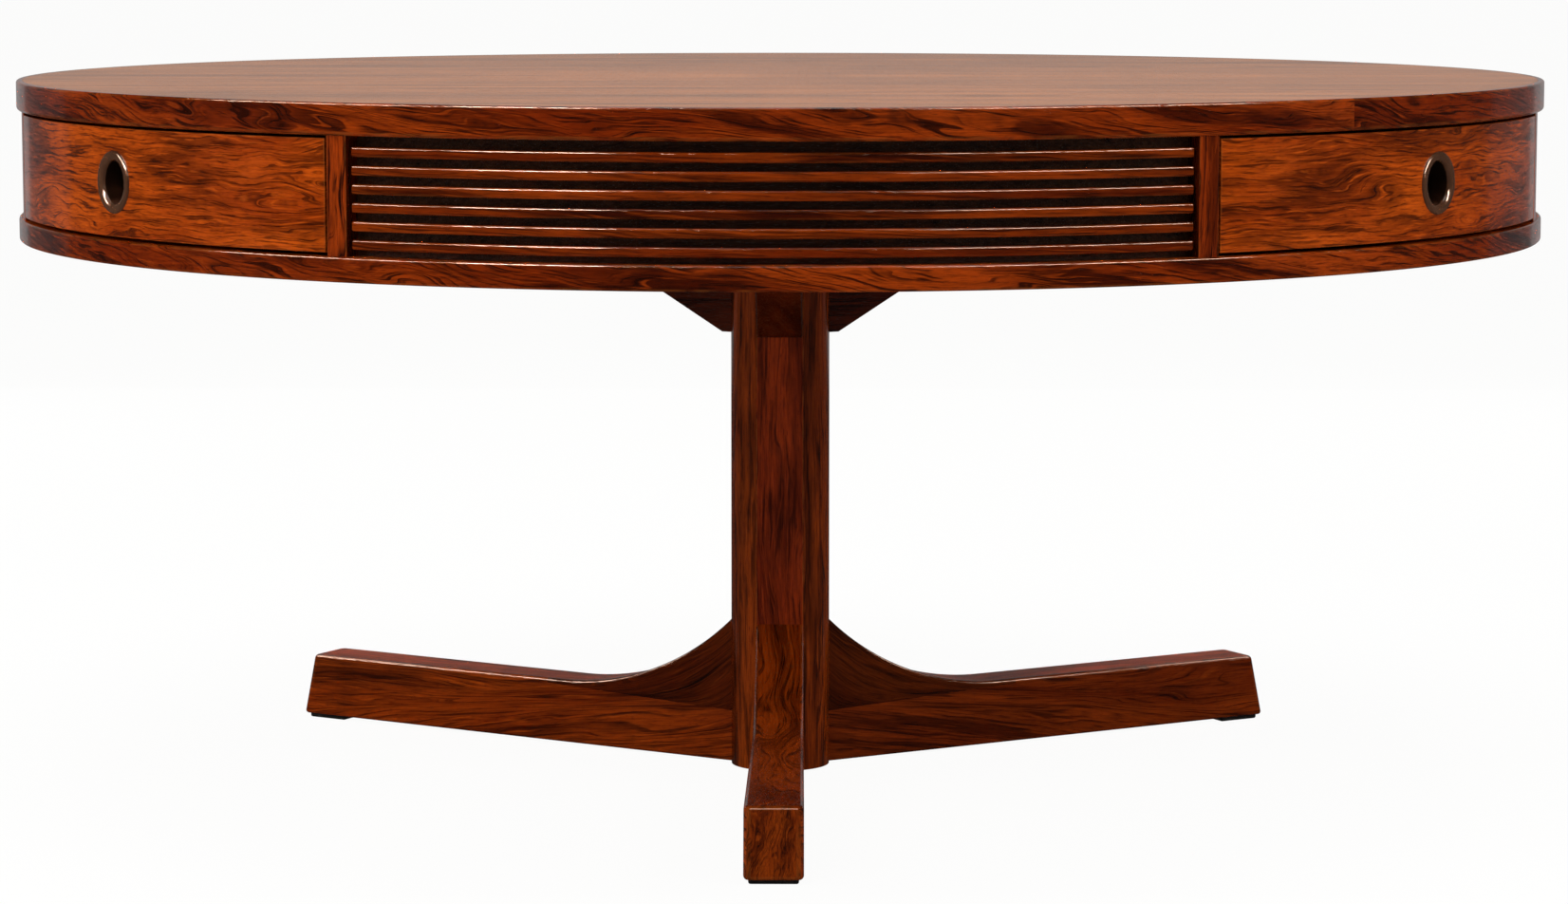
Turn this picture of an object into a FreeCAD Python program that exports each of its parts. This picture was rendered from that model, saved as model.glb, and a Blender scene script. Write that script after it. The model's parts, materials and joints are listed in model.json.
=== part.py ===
import FreeCAD, Part
import math
import os

# Captain's drum desk: a round top over a drum of drawers and slatted panels,
# carried by a column with three legs. Millimetres, +Z up, the origin on the
# floor under the column, the wide slatted front facing -Y.

# Overall sizes
total_height = 706.0
top_radius = 762.0

# Round top with its edge band, and the lower panel
top_thickness = 28.8
drum_opening = 105.2
lower_thickness = 22.4
lower_setback = 0.8
band_thickness = 6.0

# Fits shared by all pieces
glue_line = 0.3
overrun = 5.0

# Layout round the drum: angles from the front, drawer bays in two mirrored pairs
quarter_turn = 90.0
half_turn = 180.0
bay_angle = 52.8
post_offset_angle = 22.8

# Posts between the drawers and the slatted panels
face_setback = 3.7
post_width = 21.0
post_depth = 36.0

# Slatted panels
slat_count = 6
slat_height = 8.8
slat_depth = 14.0
slat_setback = 3.0
slat_end_gap = 3.0
slat_base_gap = 6.2
slat_head_gap = 9.6
slat_board = 12.0

# Bay cheeks and the runner battens on them
cheek_thickness = 16.0
cheek_ledge = 5.0
cheek_core_gap = 6.0
runner_height = 12.0
runner_engage = 5.0
runner_setback = 30.0
runner_clearance = 0.3

# Drawers
front_thickness = 20.0
front_stop_gap = 0.5
reveal_side = 1.8
reveal_above = 2.5
reveal_below = 3.2
drawer_side_gap = 3.0
drawer_back_gap = 8.0
drawer_wall = 12.0
drawer_lift = 9.0
drawer_headroom = 14.0
groove_spare = 1.0
bottom_thickness = 6.0
bottom_lift = 6.0
bottom_groove = 5.0

# Finger-pull rings
pull_bore_radius = 19.5
pull_radius = 29.0
pull_thickness = 7.0
pull_seat_depth = 5.0
pull_clearance = 0.3

# Column with staves let into a round core
column_radius = 50.0
column_floor_gap = 2.0
stave_width = 48.0
stave_depth = 18.0
leg_angle = 120.0

# Bracket arms under the drum
arm_width = 46.0
arm_drop = 104.0
arm_foot_reach = 56.0
arm_reach = 253.0

# Legs, knee blocks and glides
leg_width = 55.0
leg_reach = 588.5
leg_end_slant = 14.5
leg_top = 70.0
leg_tip_gap = 8.0
leg_column_gap = 2.5
leg_ease = 3.0
leg_root_reach = 38.0
knee_start = 250.0
knee_radius = 300.0
knee_joint_height = 55.5
knee_joint_rise = 9.7
knee_block_reach = 270.0
glide_length = 46.0
glide_width = 46.0
glide_end_gap = 7.0
glide_ease = 2.5

# Radii and heights that follow from the sizes above
face_radius = top_radius - face_setback
lower_radius = top_radius - lower_setback
front_inner = face_radius - front_thickness
post_back = face_radius - post_depth
slat_outer = face_radius - slat_setback
slat_inner = slat_outer - slat_depth
drum_ceiling = total_height - top_thickness
drum_floor = drum_ceiling - drum_opening
drum_base = drum_floor - lower_thickness
wide_angle = bay_angle - post_offset_angle
narrow_angle = quarter_turn - bay_angle - post_offset_angle
stave_face = math.sqrt(column_radius ** 2 - (stave_width / 2) ** 2)

# Bay widths: the cheeks end on the posts and stop short of the next bay's cheeks
post_lean = math.radians(post_offset_angle)
next_bay = math.radians(quarter_turn - bay_angle)
post_corner = post_back * math.sin(post_lean) - post_width / 2 * math.cos(post_lean)
cheek_inner = post_corner - cheek_ledge
cheek_outer = cheek_inner + cheek_thickness
cheek_back = cheek_outer / math.tan(next_bay) + cheek_core_gap / math.sin(next_bay)
cheek_front_radius = front_inner - front_stop_gap
cheek_front = math.sqrt(cheek_front_radius ** 2 - cheek_inner ** 2)
drawer_half = cheek_inner - drawer_side_gap
drawer_back = cheek_back + drawer_back_gap
drawer_bottom = drum_floor + drawer_lift
drawer_top = drum_ceiling - drawer_headroom
front_bottom = drum_floor + reveal_below
front_top = drum_ceiling - reveal_above
pull_height = (front_bottom + front_top) / 2
pull_seat = face_radius - pull_seat_depth
runner_low = (drawer_bottom + drawer_top - runner_height) / 2
runner_high = runner_low + runner_height
runner_front = cheek_front - runner_setback

origin = FreeCAD.Vector(0, 0, 0)
up = FreeCAD.Vector(0, 0, 1)
outward = FreeCAD.Vector(1, 0, 0)

bays = {
    "front_right": bay_angle,
    "rear_right": half_turn - bay_angle,
    "rear_left": half_turn + bay_angle,
    "front_left": -bay_angle,
}
panels = [
    (0, wide_angle),
    (half_turn, wide_angle),
    (quarter_turn, narrow_angle),
    (-quarter_turn, narrow_angle),
]
leg_places = {"front": 0, "right": leg_angle, "left": -leg_angle}


def block(x, y, z):
    """Box between the two values given on each axis."""
    corner = FreeCAD.Vector(x[0], y[0], z[0])
    return Part.makeBox(x[1] - x[0], y[1] - y[0], z[1] - z[0], corner)


def disc(radius, low, high):
    """Upright cylinder about the desk's axis."""
    return Part.makeCylinder(radius, high - low, FreeCAD.Vector(0, 0, low), up)


def curved_wall(inner, outer, half_angle, low, high):
    """Piece of a round wall, centred on the local outward axis."""
    base = FreeCAD.Vector(0, 0, low)
    sector = Part.makeCylinder(outer, high - low, base, up, 2 * half_angle)
    wall = sector.cut(disc(inner, low - overrun, high + overrun))
    return wall.rotated(origin, up, -half_angle)


def rod(radius, start, end, height):
    """Cylinder along the local outward axis at a height."""
    base = FreeCAD.Vector(start, 0, height)
    return Part.makeCylinder(radius, end - start, base, outward)


def facing(shape, angle):
    """Turn a piece from the local outward axis to its place round the desk."""
    return shape.rotated(origin, up, angle - quarter_turn)


def eased(shape, size, wanted):
    """Plane off the edges whose middle point passes the test."""
    edges = []
    for edge in shape.Edges:
        middle = edge.valueAt((edge.FirstParameter + edge.LastParameter) / 2)
        if wanted(middle):
            edges.append(edge)
    return shape.makeChamfer(size, edges)


def save(name, solids):
    """Write one node: a single solid or a group of separate ones."""
    shape = solids[0] if len(solids) == 1 else Part.makeCompound(solids)
    shape.exportStep("parts/" + name + ".step")


def make_panels():
    """Round top with its edge band, and the lower panel in one piece."""
    inner = top_radius - band_thickness
    hole = disc(inner, drum_ceiling - overrun, total_height + overrun)
    band = disc(top_radius, drum_ceiling, total_height).cut(hole)
    save("top_panel", [disc(inner - glue_line, drum_ceiling, total_height)])
    save("top_band", [band])
    save("lower_panel", [disc(lower_radius, drum_base, drum_floor)])


def post_space(angle, margin):
    """Room that a post takes at an angle from a piece's own middle."""
    half = post_width / 2 + margin
    reach = face_radius + overrun
    space = block((post_back, reach), (-half, half), (drum_floor, drum_ceiling))
    return space.rotated(origin, up, angle)


def without_posts(shape, angle, margin):
    """Trim a curved piece to the posts on both sides of it."""
    for side in (-angle, angle):
        shape = shape.cut(post_space(side, margin))
    return shape


def make_posts(name, angle):
    """The two posts that frame a drawer."""
    drum = disc(face_radius, drum_floor, drum_ceiling)
    pair = []
    for side in (-post_offset_angle, post_offset_angle):
        post = post_space(side, 0).common(drum)
        pair.append(facing(post.Solids[0], angle))
    save(name + "_posts", pair)


def slat(half_angle, low):
    """One curved slat, a little short of the posts at both ends."""
    bar = curved_wall(slat_inner, slat_outer, half_angle, low, low + slat_height)
    return without_posts(bar, half_angle, slat_end_gap).Solids[0]


def panel_board(half_angle):
    """Curved board between two posts, which carries a stack of slats."""
    outer = slat_inner - glue_line
    board = curved_wall(outer - slat_board, outer, half_angle, drum_floor, drum_ceiling)
    return without_posts(board, half_angle, 0).Solids[0]


def make_slatted_panels():
    """The four panels: a board each, with a stack of slats on it."""
    stack = drum_opening - slat_base_gap - slat_head_gap - slat_height
    pitch = stack / (slat_count - 1)
    boards = []
    slats = []
    for angle, half_angle in panels:
        boards.append(facing(panel_board(half_angle), angle))
        for row in range(slat_count):
            low = drum_floor + slat_base_gap + row * pitch
            slats.append(facing(slat(half_angle, low), angle))
    save("slat_boards", boards)
    save("panel_slats", slats)


def make_bay(name, angle):
    """Cheeks on both sides of a drawer, and the runner battens on them."""
    reach = disc(cheek_front_radius, drum_floor, drum_ceiling)
    cheeks = []
    runners = []
    for side in (-1, 1):
        across = sorted((side * cheek_inner, side * cheek_outer))
        board = block((cheek_back, face_radius), across, (drum_floor, drum_ceiling))
        cheek = without_posts(board.common(reach), post_offset_angle, 0)
        cheeks.append(facing(cheek.Solids[0], angle))
        tip = drawer_half - runner_engage
        across = sorted((side * cheek_inner, side * tip))
        runner = block((cheek_back, runner_front), across, (runner_low, runner_high))
        runners.append(facing(runner, angle))
    save(name + "_cheeks", cheeks)
    save(name + "_runners", runners)


def drawer_front():
    """Curved front between the posts, with a finger hole and a seat for its ring."""
    front = curved_wall(front_inner, face_radius, post_offset_angle, front_bottom, front_top)
    front = without_posts(front, post_offset_angle, reveal_side)
    reach = face_radius + overrun
    seat = rod(pull_radius + pull_clearance, pull_seat, reach, pull_height)
    hole = rod(pull_bore_radius, front_inner - overrun, reach, pull_height)
    return front.cut(seat).cut(hole)


def pull_ring():
    """Turned ring let into its seat, a little proud of the drawer front."""
    lip = pull_seat + pull_thickness
    bore = rod(pull_bore_radius, pull_seat - overrun, lip + overrun, pull_height)
    return rod(pull_radius, pull_seat, lip, pull_height).cut(bore)


def drawer_side(side):
    """Side board with a runner groove outside and a bottom groove inside."""
    inner = drawer_half - drawer_wall
    across = sorted((side * inner, side * drawer_half))
    board = block((drawer_back, face_radius), across, (drawer_bottom, drawer_top))
    board = board.common(disc(front_inner - glue_line, drawer_bottom, drawer_top))
    depth = drawer_half - runner_engage - groove_spare
    across = sorted((side * depth, side * (drawer_half + overrun)))
    groove_end = runner_front + groove_spare
    low = runner_low - runner_clearance
    high = runner_high + runner_clearance
    board = board.cut(block((drawer_back - overrun, groove_end), across, (low, high)))
    low = drawer_bottom + bottom_lift
    across = sorted((side * (inner - overrun), side * (inner + bottom_groove)))
    slot = block((drawer_back - overrun, face_radius), across, (low, low + bottom_thickness))
    return board.cut(slot)


def drawer_bottom_panel():
    """Bottom panel in the side grooves, curved to the front."""
    half = drawer_half - drawer_wall + bottom_groove
    low = drawer_bottom + bottom_lift
    high = low + bottom_thickness
    panel = block((drawer_back, face_radius), (-half, half), (low, high))
    return panel.common(disc(front_inner - glue_line, low, high))


def drawer_back_board():
    """Back board on top of the bottom panel, between the sides."""
    half = drawer_half - drawer_wall
    low = drawer_bottom + bottom_lift + bottom_thickness
    return block((drawer_back, drawer_back + drawer_wall), (-half, half), (low, drawer_top))


def make_drawer(name, angle):
    """One drawer: five boards and the ring pull."""
    pieces = {
        "front": drawer_front(),
        "left_side": drawer_side(-1),
        "right_side": drawer_side(1),
        "back": drawer_back_board(),
        "bottom": drawer_bottom_panel(),
        "pull": pull_ring(),
    }
    for piece, shape in pieces.items():
        save(name + "_drawer_" + piece, [facing(shape.Solids[0], angle)])


def stave():
    """Flat-faced stave let into the round column."""
    half = stave_width / 2
    across = (-half, half)
    return block((stave_face - stave_depth, stave_face), across, (column_floor_gap, drum_base))


def make_column():
    """Round core with three staves in line with the legs."""
    core = disc(column_radius, column_floor_gap, drum_base)
    half = stave_width / 2
    low = column_floor_gap - overrun
    high = drum_base + overrun
    deep = stave_face - stave_depth
    slot = block((deep, column_radius + overrun), (-half, half), (low, high))
    staves = []
    for angle in leg_places.values():
        core = core.cut(facing(slot, angle))
        staves.append(facing(stave(), angle))
    save("column_core", [core.Solids[0]])
    save("column_staves", staves)


def arm():
    """Bracket under the drum, with a sloping lower edge."""
    low = drum_base - arm_drop
    outline = [(stave_face, drum_base), (stave_face, low), (arm_foot_reach, low),
               (arm_reach, drum_base), (stave_face, drum_base)]
    half = arm_width / 2
    wire = Part.makePolygon([FreeCAD.Vector(x, -half, z) for x, z in outline])
    return Part.Face(wire).extrude(FreeCAD.Vector(0, arm_width, 0))


def leg_outline():
    """Side view of a leg with its knee, from the column to the slanted end."""
    half = leg_width / 2
    fall = (leg_tip_gap - leg_column_gap) / (leg_reach - stave_face)
    root_low = leg_column_gap - fall * (stave_face - leg_root_reach)
    crown = leg_top + knee_radius
    middle = (knee_start + leg_root_reach) / 2

    def on_knee(x):
        return crown - math.sqrt(knee_radius ** 2 - (knee_start - x) ** 2)

    def at(x, z):
        return FreeCAD.Vector(x, -half, z)

    heel = at(leg_root_reach, root_low)
    toe = at(leg_reach, leg_tip_gap)
    tip = at(leg_reach - leg_end_slant, leg_top)
    bend = at(knee_start, leg_top)
    crest = at(leg_root_reach, on_knee(leg_root_reach))
    knee = Part.Arc(bend, at(middle, on_knee(middle)), crest)
    edges = [Part.LineSegment(heel, toe), Part.LineSegment(toe, tip),
             Part.LineSegment(tip, bend), knee, Part.LineSegment(crest, heel)]
    return Part.Wire([edge.toShape() for edge in edges])


def leg_and_knee():
    """Leg and knee block, parted along a sloping glue joint with a square end."""
    whole = Part.Face(leg_outline()).extrude(FreeCAD.Vector(0, leg_width, 0))
    root = leg_root_reach + leg_ease
    whole = eased(whole, leg_ease, lambda point: point.x > root)
    half = leg_width / 2 + overrun
    low = column_floor_gap - overrun
    column = disc(column_radius + glue_line, low, drum_base)
    whole = whole.cut(column.common(block((0, stave_face), (-half, half), (low, drum_base))))
    slope = knee_joint_rise / (knee_block_reach - stave_face)
    inner = knee_joint_height - slope * stave_face
    outer = knee_joint_height + knee_joint_rise
    outline = [(0, inner), (knee_block_reach, outer),
               (knee_block_reach, drum_base), (0, drum_base), (0, inner)]
    wire = Part.makePolygon([FreeCAD.Vector(x, -half, z) for x, z in outline])
    above = Part.Face(wire).extrude(FreeCAD.Vector(0, 2 * half, 0))
    return whole.cut(above).Solids[0], whole.common(above).Solids[0]


def glide(leg):
    """Pad under a leg's end, with eased lower edges."""
    end = leg_reach - glide_end_gap
    half = glide_width / 2
    pad = block((end - glide_length, end), (-half, half), (0, leg_top / 2))
    sunk = leg_tip_gap / 2
    pad = eased(pad, glide_ease, lambda point: point.z < sunk)
    return pad.cut(leg)


def make_base():
    """Arms, legs, knee blocks and glides, three of each."""
    leg, knee = leg_and_knee()
    pad = glide(leg).Solids
    lowest = min(pad, key=lambda solid: solid.BoundBox.ZMin)
    glides = []
    for name, angle in leg_places.items():
        save(name + "_arm", [facing(arm(), angle)])
        save(name + "_leg", [facing(leg, angle)])
        save(name + "_knee_block", [facing(knee, angle)])
        glides.append(facing(lowest, angle))
    save("glides", glides)


os.makedirs("parts", exist_ok=True)
make_panels()
for bay, angle in bays.items():
    make_posts(bay, angle)
    make_bay(bay, angle)
    make_drawer(bay, angle)
make_slatted_panels()
make_column()
make_base()
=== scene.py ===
import json
import math

import bmesh
import bpy
from bpy.props import FloatProperty, FloatVectorProperty, IntProperty, PointerProperty
from mathutils import Matrix, Vector


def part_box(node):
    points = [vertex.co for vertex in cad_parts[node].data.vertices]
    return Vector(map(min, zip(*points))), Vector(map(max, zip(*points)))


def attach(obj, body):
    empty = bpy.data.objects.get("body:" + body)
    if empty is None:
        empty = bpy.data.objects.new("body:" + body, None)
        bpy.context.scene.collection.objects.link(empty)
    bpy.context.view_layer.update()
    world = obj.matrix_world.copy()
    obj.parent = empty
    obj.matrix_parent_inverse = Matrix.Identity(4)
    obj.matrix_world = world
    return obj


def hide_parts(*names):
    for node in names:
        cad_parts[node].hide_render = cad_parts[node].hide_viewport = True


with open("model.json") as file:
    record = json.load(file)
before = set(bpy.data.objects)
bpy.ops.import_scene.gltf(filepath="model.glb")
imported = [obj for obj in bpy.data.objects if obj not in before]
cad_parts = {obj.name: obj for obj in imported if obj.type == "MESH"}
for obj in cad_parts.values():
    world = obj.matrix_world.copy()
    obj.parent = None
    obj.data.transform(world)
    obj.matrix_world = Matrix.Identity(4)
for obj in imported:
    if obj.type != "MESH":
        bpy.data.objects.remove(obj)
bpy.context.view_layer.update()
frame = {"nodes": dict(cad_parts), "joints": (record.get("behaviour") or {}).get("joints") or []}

bl_info = {
    "name": "Drum desk",
    "version": (1, 0, 0),
    "blender": (4, 5, 0),
    "location": "View3D > Sidebar > Drum desk",
    "description": "Rosewood drum desk with curved drawers, slatted panels and a "
                   "three-legged column",
    "category": "Object",
}

CARCASS = "carcass"
SOLID, VENEER = "rosewood_solid", "rosewood_veneer"
DRUM_GLEAM, LEG_GLEAM = "polished_drum", "polished_legs"
PHOTO_WIDTH = 1652
SENSOR_WIDTH = 36.0
SHARP_EDGE = math.radians(40)
TURN = 2 * math.pi
AXIS = (0.0, 0.0)
RELIEF = 0.0002    # depth in metres of the finest marks
HAIR = 1e-5        # metres within which two places are one
LOG_STEP = (1.37, 0.73, 0.41)
WHITE = (1.0, 1.0, 0.995)
TONES = ("Light", "Middle", "Deep", "Dark")

# Straight pieces in each curve, and the fewest in a slat.
STEPS = {
    "drum": 288, "floor": 72, "slat": 8, "post": 6, "pull": 96, "lip": 10, "rim": 6, "core": 24,
    "knee": 28,
}

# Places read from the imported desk. Azimuths are in degrees, 0 at the front and rising to the right.
top_low, top_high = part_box("top_band")
panel_low, panel_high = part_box("lower_panel")
slats_low, slats_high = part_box("panel_slats")
front_low, front_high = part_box("front_right_drawer_front")
pull_low, pull_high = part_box("front_right_drawer_pull")
core_low, core_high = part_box("column_core")
leg_low, leg_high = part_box("front_leg")
arm_low, arm_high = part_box("front_arm")
glides_low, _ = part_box("glides")
legs = {"front": 0.0, "right": 120.0, "left": -120.0}
bays = {}
for joint in frame["joints"]:
    bays[joint["child"]] = math.degrees(math.atan2(joint["axis"][0], -joint["axis"][1]))
panels = {"front": 0.0, "rear": 180.0, "right": 90.0, "left": -90.0}

# Part of the log that each kind of piece is cut from. Like pieces count on from it.
seeds = {
    "top_band": 1, "lower_edge": 2, "lower_face": 5, "posts": 10, "slats": 30, "fronts": 60,
    "core": 90, "staves": 94, "arms": 100, "legs": 110, "glides": 130,
}


# Settings


def metres(name, description, default):
    """Length that a user can set."""
    return FloatProperty(
        name=name, description=description, default=default, unit="LENGTH", precision=4)


def degrees(name, description, default):
    """Angle that a user can set, written in degrees."""
    return FloatProperty(
        name=name, description=description, default=math.radians(default), unit="ROTATION")


def watts(name, description, default):
    """Strength of a lamp that a user can set."""
    return FloatProperty(name=name, description=description, default=default, unit="POWER")


def amount(name, description, default, **limits):
    """Plain number that a user can set."""
    return FloatProperty(name=name, description=description, default=default, **limits)


def tint(name, description, default):
    """Colour that a user can set."""
    return FloatVectorProperty(
        name=name, description=description, default=default, subtype="COLOR", min=0, max=1)


class DrumSizes(bpy.types.PropertyGroup):
    """Sizes of the drum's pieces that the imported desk's boxes do not give."""

    edge_rounding: metres(
        "Edge rounding", "Rounding of the top's upper edge and the lower panel's edges", 0.0022)
    under_rounding: metres("Under rounding", "Rounding of the top's lower edge", 0.0035)
    leaf_width: metres("Leaf width", "Width of the top's veneer leaves", 0.254)
    face_radius: metres("Face radius", "Radius of the curved drawer fronts and posts", 0.7583)
    post_offset: degrees("Post offset", "Angle from a drawer's middle to the posts beside it", 22.8)
    post_width: metres("Post width", "Width of the posts", 0.021)
    post_depth: metres("Post depth", "Depth of the posts", 0.036)
    post_rounding: metres("Post rounding", "Rounding of the posts' corners", 0.0012)
    slat_count: IntProperty(name="Slats", description="Slats in each panel", default=6, min=2)
    slat_height: metres("Slat height", "Height of a slat", 0.0088)
    slat_depth: metres("Slat depth", "Depth of a slat", 0.014)
    slat_gap: metres("Slat gap", "Gap from a slat's end to the post", 0.003)
    slat_rounding: metres("Slat rounding", "Rounding of the slats' edges", 0.0020)
    reveal: metres("Reveal", "Gap between a drawer front and the posts", 0.0018)
    front_thickness: metres("Front thickness", "Thickness of the drawer fronts", 0.02)
    front_rounding: metres("Front rounding", "Rounding of the drawer fronts' edges", 0.0009)
    pull_bore: metres("Pull bore", "Radius of the finger hole", 0.0195)
    pull_proud: metres("Pull proud", "How far a pull stands out of its drawer front", 0.002)
    pull_lip: metres("Pull lip", "Rounding of a pull's rim into the finger hole", 0.0050)
    pull_rim: metres("Pull rim", "Rounding of a pull's rim on the outside", 0.0026)


class BaseSizes(bpy.types.PropertyGroup):
    """Sizes of the column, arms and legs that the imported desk's boxes do not give."""

    stave_width: metres("Stave width", "Width of the flat staves", 0.048)
    stave_depth: metres("Stave depth", "Depth of the flat staves", 0.018)
    stave_rounding: metres("Stave rounding", "Rounding of the staves' edges", 0.0009)
    arm_foot: metres("Arm foot", "Reach of an arm's lower edge from the axis", 0.056)
    arm_rounding: metres("Arm rounding", "Rounding of the arms' edges", 0.0016)
    leg_top: metres("Leg top", "Height of a leg's level top", 0.07)
    tip_gap: metres("Tip gap", "Height of a leg's underside at its end", 0.0045)
    end_slant: metres("End slant", "How far a leg's end leans back", 0.0145)
    leg_rounding: metres("Leg rounding", "Rounding of the legs' long edges", 0.0036)
    foot_rounding: metres("Foot rounding", "Rounding of the upright corners at a leg's end", 0.007)
    knee_start: metres("Knee start", "Where a leg's top begins to rise", 0.25)
    knee_radius: metres("Knee radius", "Radius of the rising curve", 0.3)
    joint_reach: metres("Joint reach", "Where the knee block ends", 0.27)
    joint_low: metres("Joint low", "Height of the glue joint at the column", 0.0555)
    joint_high: metres("Joint high", "Height of the glue joint at its end", 0.0652)
    glide_size: metres("Glide size", "Length and width of a glide", 0.046)
    glide_rounding: metres("Glide rounding", "Rounding of a glide's lower edges", 0.0022)
    glide_rise: metres("Glide rise", "How much higher a glide is at the leg's end", 0.001)


class DeskFinish(bpy.types.PropertyGroup):
    """Colours and gloss of the lacquered rosewood, the lining and the fittings."""

    light: tint("Light wood", "Brightest wood between the dark figure", (0.47, 0.072, 0.0035))
    middle: tint("Middle wood", "Red-brown ground of the wood", (0.255, 0.030, 0.0012))
    deep: tint("Deep wood", "Broad dark streaks", (0.060, 0.0070, 0.0005))
    dark: tint("Dark lines", "Fine near-black lines", (0.020, 0.0030, 0.0004))
    # Paler arris wood: wear, and on the staves a painted highlight.
    worn_and_lit: tint("Worn arris", "Wood where the edges have worn paler", (0.50, 0.135, 0.020))
    # Top wood lighter and yellower than the rest: painted light and sheen on the top.
    lit_top: tint("Faded top", "Wood of the top, bleached by the light", (0.60, 0.19, 0.036))
    recess: tint("Recess", "Dark stained boards behind the slats", (0.047, 0.019, 0.008))
    lining: tint("Lining", "Drawer boards, cheeks and runners", (0.42, 0.175, 0.055))
    pull: tint("Pull", "Dark bronzed metal of the ring pulls", (0.085, 0.034, 0.016))
    glide: tint("Glide", "Black rubber of the glides", (0.012, 0.011, 0.010))
    lacquer_index: amount(
        "Lacquer index", "Refractive index of the lacquer", 1.42, min=1.0, max=2.0)


class StageLook(bpy.types.PropertyGroup):
    """Camera, lamps and surroundings."""

    focal_pixels: amount("Focal length", "Focal length in pixels of a 1652 wide picture", 4746.9)
    distance: metres("Distance", "Camera's distance from the column's axis", 4.5666)
    height: metres("Height", "Camera's height above the floor", 0.8673)
    pitch: degrees("Pitch", "How far the camera looks down", 6.796)
    azimuth: degrees("Azimuth", "Camera's place round the desk", 0.6)
    aim: degrees("Aim", "How far the camera looks to the right of the axis", 0.0477)
    ambient: amount("Ambient", "Soft light from all round", 0.28, min=0)
    mirrored: amount(
        "Mirrored", "How bright the white surroundings are in reflections", 0.03, min=0, max=1)
    floor_glow: amount(
        "Floor glow", "Share of the floor's white that takes no shadow", 0.955, min=0, max=1)
    key: watts("Key lamp", "Softbox at the front left", 57.0)
    fill: watts("Fill lamp", "Softbox at the front right", 30.0)
    rim: watts("Rim lamp", "Softbox behind the desk", 11.3)
    wing: watts("Wing lamps", "Softboxes behind at both sides", 1.1)
    left: watts("Left lamp", "Plain fill from the left", 17.0)
    right: watts("Right lamp", "Plain fill from the right", 10.0)
    back: watts("Back lamps", "Plain fill from behind at both sides", 16.0)
    overhead: watts("Overhead lamp", "Softbox above the desk", 67.0)
    gleam_colour: tint("Gleam colour", "Warm white of the cards", (1.0, 0.70, 0.54))
    gleam: amount("Drum gleam", "Glow of the card that the drum's arrises mirror", 165.0, min=0)
    side_gleam: amount("Side gleams", "Glow of the cards to the left and right of it", 64.0, min=0)
    leg_gleam: amount("Leg gleams", "Glow of the cards that the legs' arrises mirror", 13.0, min=0)


class DrumDesk(bpy.types.PropertyGroup):
    """Everything that can be set on the desk and its stage."""

    drum: PointerProperty(type=DrumSizes)
    base: PointerProperty(type=BaseSizes)
    finish: PointerProperty(type=DeskFinish)
    stage: PointerProperty(type=StageLook)


# Shapes


def turned(azimuth):
    """Turn from the local outward +X axis to a place round the desk."""
    return Matrix.Rotation(math.radians(azimuth) - TURN / 4, 4, "Z")


def off_axis(place):
    """Distance from the upright axis."""
    return math.hypot(place.x, place.y)


def inscribed(low, high):
    """Radius of the circle that fits into a box in plan."""
    return min(-low.x, high.x, -low.y, high.y)


def arc(centre, radius, start, end, steps):
    """Points along an arc, angles in radians."""
    points = []
    for step in range(steps + 1):
        angle = start + (end - start) * step / steps
        points.append((centre[0] + radius * math.cos(angle), centre[1] + radius * math.sin(angle)))
    return points


def circle(radius, steps):
    """Points round the desk's axis."""
    return arc(AXIS, radius, 0.0, TURN * (steps - 1) / steps, steps - 1)


def new_shape():
    """Empty shape with the layers that the finishes read."""
    shape = bmesh.new()
    shape.faces.layers.float.new("arris")
    shape.loops.layers.float_vector.new("grain")
    return shape


def prism(outline, low, high, upright=True):
    """Outline drawn in plan and raised, or drawn in side view and given a width."""
    shape = new_shape()
    rings = []
    for level in (low, high):
        places = [(a, b, level) if upright else (a, level, b) for a, b in outline]
        rings.append([shape.verts.new(place) for place in places])
    count = len(outline)
    for index in range(count):
        after = (index + 1) % count
        shape.faces.new((rings[0][index], rings[0][after], rings[1][after], rings[1][index]))
    shape.faces.new(rings[0])
    shape.faces.new(rings[1])
    bmesh.ops.recalc_face_normals(shape, faces=shape.faces)
    return shape


def lathe(profile, steps, axis="Z", height=0.0):
    """Closed profile of (radius, level) turned about the desk's axis or a drawer's own."""
    shape = new_shape()
    rings = []
    for step in range(steps):
        angle = TURN * step / steps
        ring = []
        for radius, level in profile:
            a, b = radius * math.cos(angle), radius * math.sin(angle)
            place = (a, b, level) if axis == "Z" else (level, a, b + height)
            ring.append(shape.verts.new(place))
        rings.append(ring)
    count = len(profile)
    for step in range(steps):
        ring, after = rings[step], rings[(step + 1) % steps]
        for index in range(count):
            beside = (index + 1) % count
            shape.faces.new((ring[index], after[index], after[beside], ring[beside]))
    bmesh.ops.recalc_face_normals(shape, faces=shape.faces)
    return shape


def soften(shape, size, wanted, segments=4):
    """Round the edges whose middle point passes the test, and mark them as arrises."""
    edges = []
    for edge in shape.edges:
        if len(edge.link_faces) == 2 and edge.calc_face_angle(0) > SHARP_EDGE:
            if wanted((edge.verts[0].co + edge.verts[1].co) / 2):
                edges.append(edge)
    made = bmesh.ops.bevel(
        shape, geom=edges, offset=size, offset_type="OFFSET", segments=segments,
        profile=0.5, affect="EDGES", clamp_overlap=True)
    arris = shape.faces.layers.float["arris"]
    for face in made["faces"]:
        face[arris] = 1.0
    return shape


def grained(shape, lay):
    """Write each corner's place in the grain: along it, across it and into the wood."""
    layer = shape.loops.layers.float_vector["grain"]
    for face in shape.faces:
        middle = face.calc_center_median()
        for loop in face.loops:
            loop[layer] = lay(loop.vert.co, middle)
    return shape


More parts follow.
